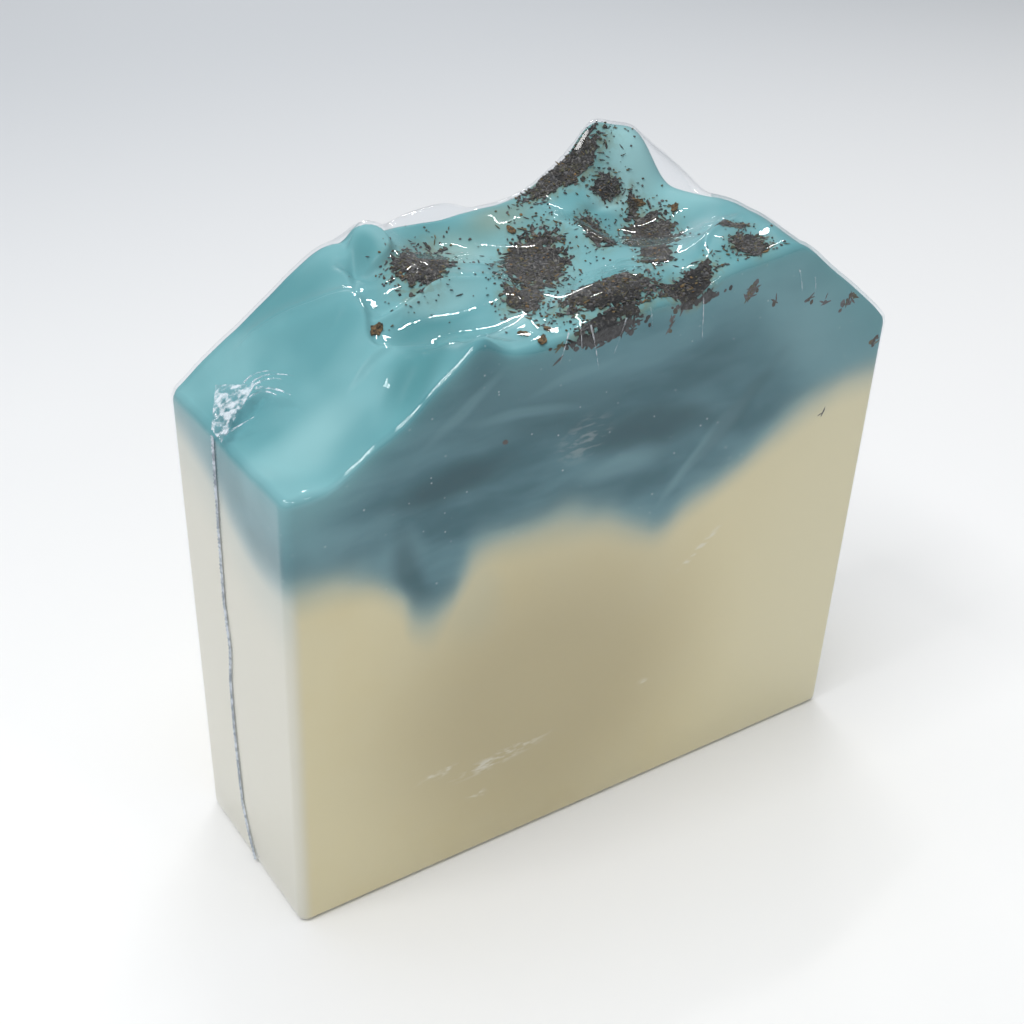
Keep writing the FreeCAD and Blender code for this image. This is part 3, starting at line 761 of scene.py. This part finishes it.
def makeHerbCrust():
    # The soap's own top faces wherever herbs lie thick, raised in lumps and given a depth.
    pick(soapBar)
    bpy.ops.object.duplicate()
    crust = bpy.context.object
    thick = (ragged > herbs["edge"]) & nearTop
    mesh = crust.data
    mesh.polygons.foreach_set("select", np.zeros(len(mesh.polygons), dtype=bool))
    keep = [all(thick[v] for v in face.vertices) for face in mesh.polygons]
    mesh.polygons.foreach_set("select", np.array(keep))
    bpy.ops.object.mode_set(mode="EDIT")
    bpy.ops.mesh.select_mode(type="FACE")
    bpy.ops.object.mode_set(mode="OBJECT")
    mesh.polygons.foreach_set("select", ~np.array(keep))
    bpy.ops.object.mode_set(mode="EDIT")
    bpy.ops.mesh.delete(type="FACE")
    bpy.ops.mesh.select_all(action="SELECT")
    bpy.ops.mesh.delete_loose()
    bpy.ops.object.mode_set(mode="OBJECT")
    x, y, z = readPoints(crust)
    lumps = 0.5 + unevenness(x, y, 0.8, 9.0) + 0.6 * unevenness(x, y, 0.4, 3.0)
    writePoints(crust, x, y, z + herbs["lift"] + herbs["lumps"] * np.clip(lumps, 0, 1) ** 1.5)
    applyModifier(crust, "SOLIDIFY", thickness=herbs["depth"] * mm, offset=-1.0)
    return crust


def crumbShapes():
    # Three chips of dry leaf, each made once and copied: a grain, a shred and a scale.
    shapes = []
    for sides, stretch in ((2, (1.0, 0.8, 0.6)), (2, (2.4, 0.4, 0.3)), (2, (1.2, 1.0, 0.25))):
        startFresh()
        bpy.ops.mesh.primitive_ico_sphere_add(subdivisions=1, radius=1.0)
        chip = bpy.context.object
        chip.scale = stretch
        bpy.ops.object.transform_apply(location=False, rotation=False, scale=True)
        bpy.ops.object.mode_set(mode="EDIT")
        bpy.ops.mesh.select_all(action="SELECT")
        bpy.ops.transform.vertex_random(offset=0.18, seed=4 + len(shapes))
        bpy.ops.object.mode_set(mode="OBJECT")
        shapes.append((
            np.array([v.co for v in chip.data.vertices]),
            [tuple(face.vertices) for face in chip.data.polygons],
        ))
        bpy.data.objects.remove(chip)
    return shapes


def makeCrumbs():
    dice = random.Random(11)
    shapes = crumbShapes()
    spots, sizes, tints = [], [], []
    for along, across, length, width, turn, count in herbSpots.values():
        c, s = math.cos(math.radians(turn)), math.sin(math.radians(turn))
        for number in range(int(count * herbs["crumbShare"])):
            a, b = dice.gauss(0, herbs["scatter"]) * length, dice.gauss(0, herbs["scatter"]) * width
            x = bar["width"] * (along - 0.5) + a * c - b * s
            y = bar["depth"] * (across - 0.5) + a * s + b * c
            if abs(x) < bar["width"] / 2 - 1.2 and abs(y) < bar["depth"] / 2 - 0.9:
                spots.append((x, y))
                sizes.append(dice.uniform(*herbs["crumbSize"]) * (0.7 if (a / length) ** 2 + (b / width) ** 2 > 1 else 1))
                tints.append(dice.random())
    places = np.array(spots)
    heights = soapHeight(places[:, 0], places[:, 1])
    points, faces, tintOfPoint = [], [], []
    for (x, y), z, size, tint in zip(spots, heights, sizes, tints):
        shape, shapeFaces = shapes[dice.randrange(3)]
        turned = (
            Matrix.Rotation(dice.uniform(0, 6.28), 3, "Z")
            @ Matrix.Rotation(dice.gauss(0, 0.3), 3, "X")
            @ Matrix.Rotation(dice.gauss(0, 0.3), 3, "Y")
        )
        placed = shape @ np.array(turned).T * size + np.array((x, y, z + 0.1))
        first = len(tintOfPoint)
        faces += [tuple(first + v for v in face) for face in shapeFaces]
        points.append(placed)
        tintOfPoint += [tint] * len(placed)
    for x, z, length, height, turn, count, darkest, palest in herbs["onFront"]:
        c, s = math.cos(math.radians(turn)), math.sin(math.radians(turn))
        for number in range(count):
            a, b = dice.gauss(0, 0.5) * length, dice.gauss(0, 0.5) * height
            shape, shapeFaces = shapes[dice.randrange(3)]
            spin = np.array(Matrix.Rotation(dice.uniform(0, 6.28), 3, "Y"))
            placed = shape[:, [0, 2, 1]] @ spin.T * dice.uniform(0.22, 0.42)
            placed[:, 1] *= 0.25
            sideways, up = x + a * c - b * s, z + a * s + b * c
            if abs(sideways) > 41.0 or up > soapTop(np.array([sideways]), np.array([-13.5]))[0] - 0.5:
                continue
            first = len(tintOfPoint)
            faces += [tuple(first + v for v in face[::-1]) for face in shapeFaces]
            points.append(placed + np.array((sideways, -bar["depth"] / 2, up)))
            tintOfPoint += [dice.uniform(darkest, palest)] * len(placed)
    mesh = bpy.data.meshes.new("herbCrumbs")
    mesh.from_pydata((np.concatenate(points) * mm).tolist(), [], faces)
    crumbs = bpy.data.objects.new("herbCrumbs", mesh)
    bpy.context.scene.collection.objects.link(crumbs)
    x, y, z = readPoints(crumbs)
    y = y * (bar["baseDepth"] + (bar["depth"] - bar["baseDepth"]) * z / bar["shoulder"]) / bar["depth"]
    writePoints(crumbs, x, y, z)
    saveOnPoints(crumbs, "tint", tintOfPoint)
    return crumbs


herbCrust = finishPiece(makeHerbCrust(), "herbCrust", herbMaterial(), 60)
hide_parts("herb_crust")
herbCrumbs = finishPiece(makeCrumbs(), "herbCrumbs", crumbMaterial(), 30)
finishPiece(soapBar, "soapBar", soapMaterial(), 50)
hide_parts("soap_bar")
print("herbs pressed in")


# loose leaf flakes

flakes = {
    "colour": (0.21, 0.130, 0.055),
    "dark": (0.050, 0.040, 0.026),
    "size": 0.75,
    "thickness": 0.22,
    "onTop": (  # x, y, half length, turn
        (-24.1, -2.0, 1.5, -50), (-10.3, -13.4, 1.2, -25), (-8.6, -11.9, 1.0, 20), (0.1, 8.4, 1.1, 35),
        (18.3, 7.2, 1.2, 70), (21.6, 4.3, 1.1, 10), (-11.6, -11.6, 0.9, 60),
    ),
}


def flakeMaterial():
    material, tree = newMaterial("leafFlakes")
    space = spaceInMm(tree)
    veins = grain(tree, space, 0.35, 3.0, (0.35, 0.65), 1.0, (1, 1, 1))
    colour = blendColours(tree, veins, flakes["dark"], flakes["colour"])
    height = addNode(tree, "TexNoise", {"Vector": space}, values={"Scale": 5.0, "Detail": 4.0})
    bump = addNode(tree, "Bump", {"Height": height.outputs["Fac"]}, values={"Strength": 0.5, "Distance": 0.0001})
    shader = addNode(
        tree, "BsdfPrincipled", {"Base Color": colour, "Normal": bump.outputs[0]},
        values={"Roughness": 0.7, "Specular IOR Level": 0.3},
    )
    addNode(tree, "OutputMaterial", {"Surface": shader.outputs[0]})
    return material


def makeFlakes():
    startFresh()
    bpy.ops.mesh.primitive_circle_add(vertices=9, radius=1.0, fill_type="NGON")
    master = bpy.context.object
    dice = random.Random(5)
    for vertex in master.data.vertices:
        vertex.co.x *= dice.uniform(0.75, 1.1)
        vertex.co.y *= dice.uniform(0.35, 0.6)
    bpy.ops.object.mode_set(mode="EDIT")
    bpy.ops.mesh.select_all(action="SELECT")
    bpy.ops.mesh.inset(thickness=0.12)
    bpy.ops.mesh.poke()
    bpy.ops.mesh.select_all(action="SELECT")
    bpy.ops.mesh.subdivide(number_cuts=1)
    bpy.ops.object.mode_set(mode="OBJECT")
    made = []

    def placeOne(x, y, z, size, turn, normal):
        copy = bpy.data.objects.new("flake", master.data.copy())
        bpy.context.scene.collection.objects.link(copy)
        for vertex in copy.data.vertices:
            vertex.co.x *= dice.uniform(0.85, 1.15)
            vertex.co.y *= dice.uniform(0.75, 1.25)
            vertex.co.z = 0.07 * dice.gauss(0, 1)
        facing = normal.to_track_quat("Z", "X").to_matrix().to_4x4()
        copy.data.transform(
            Matrix.Translation(Vector((x, y, z)) * mm)
            @ facing
            @ Matrix.Rotation(math.radians(turn), 4, "Z")
            @ Matrix.Scale(size * flakes["size"] * mm, 4)
        )
        applyModifier(copy, "SOLIDIFY", thickness=flakes["thickness"] * mm, offset=-1.0)
        made.append(copy)

    for x, y, size, turn in flakes["onTop"]:
        near = np.array([x, x + 0.6, x]), np.array([y, y, y + 0.6])
        here, beside, behind = soapHeight(*near)
        normal = Vector((here - beside, here - behind, 0.6)).normalized()
        squeeze = (bar["baseDepth"] + 3.0 * here / bar["shoulder"]) / bar["depth"]
        placeOne(x, y * squeeze, here + 0.26, size, turn, normal)
    bpy.data.objects.remove(master)
    return joinInto(made)


leafFlakes = finishPiece(makeFlakes(), "leafFlakes", flakeMaterial(), 30)
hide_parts("herb_flakes")
print("flakes laid")


# clear shrink film

film = {
    "gap": 0.15,
    "lift": 0.42,  # over the herbs and flakes
    "shine": 0.045,  # how much the film mirrors, looking straight at it
    "span": 9.0,  # radius that it bends to over small hollows
    "wideSpan": 60.0,
    "cells": (280, 96),
    "tents": ((0.800, 0.98, 7.5, 9.0), (0.400, 1.00, 5.0, 3.0)),  # where it bridges wide
    "wrinkles": (  # x, y, half length, half width, turn, rise
        (-37.5, -2.6, 5.0, 0.35, -42, 0.22), (-38.4, -4.6, 4.4, 0.30, -55, 0.20),
        (-35.5, -5.2, 5.5, 0.35, -38, 0.16), (-38.8, -0.6, 3.0, 0.30, -25, 0.22),
        (-39.6, -6.0, 3.8, 0.30, -66, 0.16), (-39.8, 4.2, 2.6, 0.3, 50, 0.15),
    ),
}


def filmMaterial(name, roughness=0.04, haze=0.0, ripple=0.10, rippleSize=5.0):
    material, tree = newMaterial(name)
    space = spaceInMm(tree)
    slack = addNode(tree, "TexNoise", {"Vector": space}, values={"Scale": 1.0 / rippleSize, "Detail": 2.0})
    bump = addNode(
        tree, "Bump", {"Height": slack.outputs["Fac"]}, values={"Strength": ripple, "Distance": 0.0004}
    )
    clear = addNode(tree, "BsdfTransparent", values={"Color": (0.985, 0.99, 1.0, 1)})
    gloss = addNode(
        tree, "BsdfAnisotropic", {"Normal": bump.outputs[0]},
        values={"Color": (1, 1, 1, 1), "Roughness": roughness},
    )
    facing = addNode(tree, "LayerWeight", {"Normal": bump.outputs[0]}, values={"Blend": 0.5})
    steep = combine(tree, "POWER", facing.outputs["Facing"], 5.0)
    shine = spread(tree, steep, 0.0, 1.0, film["shine"], 0.85, "LINEAR")
    surface = addNode(tree, "MixShader", {0: shine, 1: clear.outputs[0], 2: gloss.outputs[0]}).outputs[0]
    if haze:
        white = addNode(tree, "BsdfDiffuse", values={"Color": (0.86, 0.90, 0.95, 1)})
        crinkle = grain(tree, space, 0.8, 4.0, (0.42, 0.66), 6.0)
        amount = combine(tree, "MULTIPLY", crinkle, haze)
        surface = addNode(tree, "MixShader", {0: amount, 1: surface, 2: white.outputs[0]}).outputs[0]
    addNode(tree, "OutputMaterial", {"Surface": surface})
    return material


def bridged(heights, places, span):
    # Closes hollows along one direction: raised to arcs of the given radius, then brought back.
    reach = math.sqrt(2 * span * 9.0)
    step = places[1] - places[0]
    extra = np.arange(step, reach, step)
    wide = np.concatenate([places[0] - extra[::-1], places, places[-1] + extra])
    lifted = np.max(heights[:, None, :] - (wide[:, None] - places[None, :]) ** 2 / (2 * span), axis=2)
    return np.min(lifted[:, None, :] + (places[:, None] - wide[None, :]) ** 2 / (2 * span), axis=2)


def draped(rows, xs, ys, span):
    # Closed over both directions in turn, two times over.
    heights = rows
    for turn in range(2):
        heights = bridged(heights, xs, span)
        heights = bridged(heights.T, ys, span).T
    return heights


def filmHeight(x, y):
    xs, ys = np.unique(np.round(x, 5)), np.unique(np.round(y, 5))
    order = np.lexsort((x, y))
    gridX, gridY = np.meshgrid(xs, ys)
    soap = soapHeight(gridX.ravel(), gridY.ravel()).reshape(gridX.shape)
    close = draped(soap, xs, ys, film["span"])
    wide = draped(soap, xs, ys, film["wideSpan"])
    tent = np.zeros_like(soap)
    for along, across, length, width in film["tents"]:
        tent = np.maximum(tent, np.exp(-spotReach(gridX, gridY, along, across, length, width, 0) ** 2))
    heights = close + (wide - close) * tent + film["lift"]
    for px, py, length, width, turn, rise in film["wrinkles"]:
        along, across = px / bar["width"] + 0.5, py / bar["depth"] + 0.5
        heights += rise * np.exp(-spotReach(gridX, gridY, along, across, length, width, turn))
    result = np.empty(len(x))
    result[order] = heights.ravel()
    return result


def makeFilm():
    skin = makeBlock("clearFilm", film["gap"], film["cells"], filmHeight, tuple(1 - 0.04 * n for n in range(1, 26)))
    x, y, z = readPoints(skin)
    ripples = np.array([noise.noise((a / 9, b / 9, c / 14)) for a, b, c in zip(x, y, z)])
    outward = np.where(z < 60, 0.035 * ripples, 0.0)
    side = abs(x) / 42.1 > abs(y) / 14.0
    x = x + np.where(side, np.sign(x) * outward, 0)
    y = y + np.where(~side, np.sign(y) * outward, 0)
    writePoints(skin, x, y, np.maximum(z, 0.0))
    return skin


clearFilm = finishPiece(makeFilm(), "clearFilm", filmMaterial("clearFilm"), 60)
clearFilm.visible_shadow = False  # real film hardly shades what it wraps
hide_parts("shrink_film")
print("film drawn over")


# end seam and trimmed flap

seam = {
    "line": (  # across the left end and up it
        (-0.4, 0.6), (1.2, 4.1), (2.4, 8.2), (3.0, 19.1), (2.9, 26.8), (2.1, 32.0), (2.8, 38.4),
        (2.5, 49.6), (2.1, 58.7), (2.0, 60.6),
    ),
    "halfWidth": 0.21,
    "proud": 0.26,
    "crimps": 120,
}


def seamMaterial():
    material, tree = newMaterial("crimpedSeam")
    space = spaceInMm(tree)
    spots = grain(tree, space, 0.6, 3.0, (0.35, 0.65), 3.0)
    colour = blendColours(tree, spots, (0.36, 0.41, 0.47), (0.76, 0.82, 0.90))
    shader = addNode(
        tree, "BsdfPrincipled", {"Base Color": colour},
        values={"Roughness": 0.25, "Alpha": 0.75, "Specular IOR Level": 0.6},
    )
    addNode(tree, "OutputMaterial", {"Surface": shader.outputs[0]})
    return material


def makeSeam():
    startFresh()
    bpy.ops.mesh.primitive_grid_add(x_subdivisions=4, y_subdivisions=seam["crimps"] * 2, size=2)
    strip = bpy.context.object
    u, v, z = readPoints(strip)
    across, along = u * mm, (v * mm + 1) / 2
    heights = np.array([p[1] for p in seam["line"]])
    sides = np.array([p[0] for p in seam["line"]])
    up = heights[0] + (heights[-1] - heights[0]) * along
    middle = np.interp(up, heights, sides) + 0.12 * unevenness(up, up * 0, 1.7, 5.0)
    row = np.round(along * seam["crimps"] * 2).astype(int)
    teeth = np.where(row % 2 == 0, 1.0, 0.45)
    width = seam["halfWidth"] * (1 + 0.3 * unevenness(up, up * 0, 0.9, 2.0))
    ridge = np.maximum(1 - across ** 2, 0) * seam["proud"] * teeth
    writePoints(strip, -42.17 - ridge, middle + across * width, up)
    applyModifier(strip, "SOLIDIFY", thickness=0.04 * mm, offset=0.0)
    return strip


creases = {  # tight lines in the film, high on the front: upper end, lower end, half width
    "off": 0.21,
    "lines": (
        ((-7.9, 71.6), (-8.8, 68.2), 0.10), ((-5.0, 71.8), (-3.5, 66.2), 0.11),
        ((-0.2, 71.6), (-1.5, 67.6), 0.10), ((10.6, 71.6), (11.1, 66.2), 0.08),
        ((25.0, 72.0), (26.0, 69.0), 0.08), ((27.7, 70.6), (28.3, 67.8), 0.08),
        ((-6.4, 71.9), (-6.0, 69.0), 0.07), ((3.0, 72.2), (3.6, 69.4), 0.07),
    ),
}

flap = {
    "corners": ((-42.35, -0.7, 60.75), (-42.3, 1.9, 61.2), (-39.2, 7.4, 63.3), (-36.6, 2.4, 65.0)),
    "cells": (16, 12),
    "crumple": 0.32,
    "slivers": (  # start, middle and tip of each torn curl, then half width
        ((-37.0, 2.6, 65.2), (-35.6, 2.2, 66.6), (-33.9, -1.6, 67.2), 0.28),
        ((-37.2, 1.6, 65.0), (-35.9, -0.6, 66.0), (-35.2, -3.2, 66.0), 0.40),
        ((-37.6, 3.6, 64.8), (-36.4, 3.4, 66.4), (-35.0, 0.6, 67.1), 0.30),
        ((-38.2, 1.0, 64.3), (-36.8, 0.6, 65.6), (-36.0, -1.4, 65.4), 0.45),
        ((-36.9, 2.0, 65.2), (-35.3, 1.4, 66.2), (-34.6, 0.2, 66.2), 0.22),
        ((-41.6, 0.0, 61.3), (-40.4, -0.8, 62.4), (-38.8, -1.6, 63.6), 0.35),
    ),
}


def makeSliver(start, middle, tip, half, rise=0.25):
    # A strip of film that bends from its start to a narrow tip.
    startFresh()
    bpy.ops.mesh.primitive_grid_add(x_subdivisions=2, y_subdivisions=10, size=2)
    sliver = bpy.context.object
    u, v, z = readPoints(sliver)
    across, t = u * mm, (v * mm + 1) / 2
    a, b, c = [np.array(p)[:, None] for p in (start, middle, tip)]
    place = a * (1 - t) ** 2 + b * 2 * t * (1 - t) + c * t ** 2
    heading = (c - a)[:, 0] / np.linalg.norm((c - a)[:, 0])
    sideways = np.array((-heading[1], heading[0], 0)) if rise else np.array((-heading[2], 0, heading[0]))
    place = place + sideways[:, None] * across * half * (1 - 0.85 * t)
    place[2] += rise * abs(across) * (1 - t)
    writePoints(sliver, *place)
    applyModifier(sliver, "SOLIDIFY", thickness=0.03 * mm, offset=0.0)
    return sliver


def makeCreases():
    made = []
    for top, low, half in creases["lines"]:
        points = []
        for x, z in (top, [(a + b) / 2 + 0.15 for a, b in zip(top, low)], low):
            points.append((x, -(bar["baseDepth"] / 2 + 1.5 * z / bar["shoulder"]) - creases["off"], z))
        made.append(makeSliver(*points, half, 0.0))
    return joinInto(made)


def makeFlap():
    startFresh()
    bpy.ops.mesh.primitive_grid_add(x_subdivisions=flap["cells"][0], y_subdivisions=flap["cells"][1], size=2)
    sheet = bpy.context.object
    u, v, z = readPoints(sheet)
    s, t = (u * mm + 1) / 2, (v * mm + 1) / 2
    a, b, c, d = [np.array(p)[:, None] for p in flap["corners"]]
    place = a * (1 - s) * (1 - t) + b * s * (1 - t) + c * s * t + d * (1 - s) * t
    gather = np.exp(-((t / 0.35) ** 2))
    crumple = np.array([noise.noise((p / 1.1, q / 1.1, 3.0)) for p, q in zip(s * 3, t * 6)])
    fine = np.array([noise.noise((p / 0.35, q / 0.6, 8.0)) for p, q in zip(s * 3, t * 6)])
    place = place + np.array((0, 0, 1))[:, None] * (0.3 + flap["crumple"] * (crumple + fine * (0.3 + gather)))
    writePoints(sheet, *place)
    applyModifier(sheet, "SOLIDIFY", thickness=0.03 * mm, offset=0.0)
    return joinInto([sheet] + [makeSliver(*sliver) for sliver in flap["slivers"]])


endSeam = finishPiece(makeSeam(), "endSeam", seamMaterial(), 25)
trimmedFlap = finishPiece(
    makeFlap(), "trimmedFlap",
    filmMaterial("crinkledFilm", roughness=0.12, haze=0.55, ripple=0.5, rippleSize=0.7), 25,
)
filmCreases = finishPiece(
    makeCreases(), "filmCreases",
    filmMaterial("tightFilm", roughness=0.10, haze=0.45, ripple=0.3, rippleSize=0.7), 25,
)
print("seam, flap and creases made")
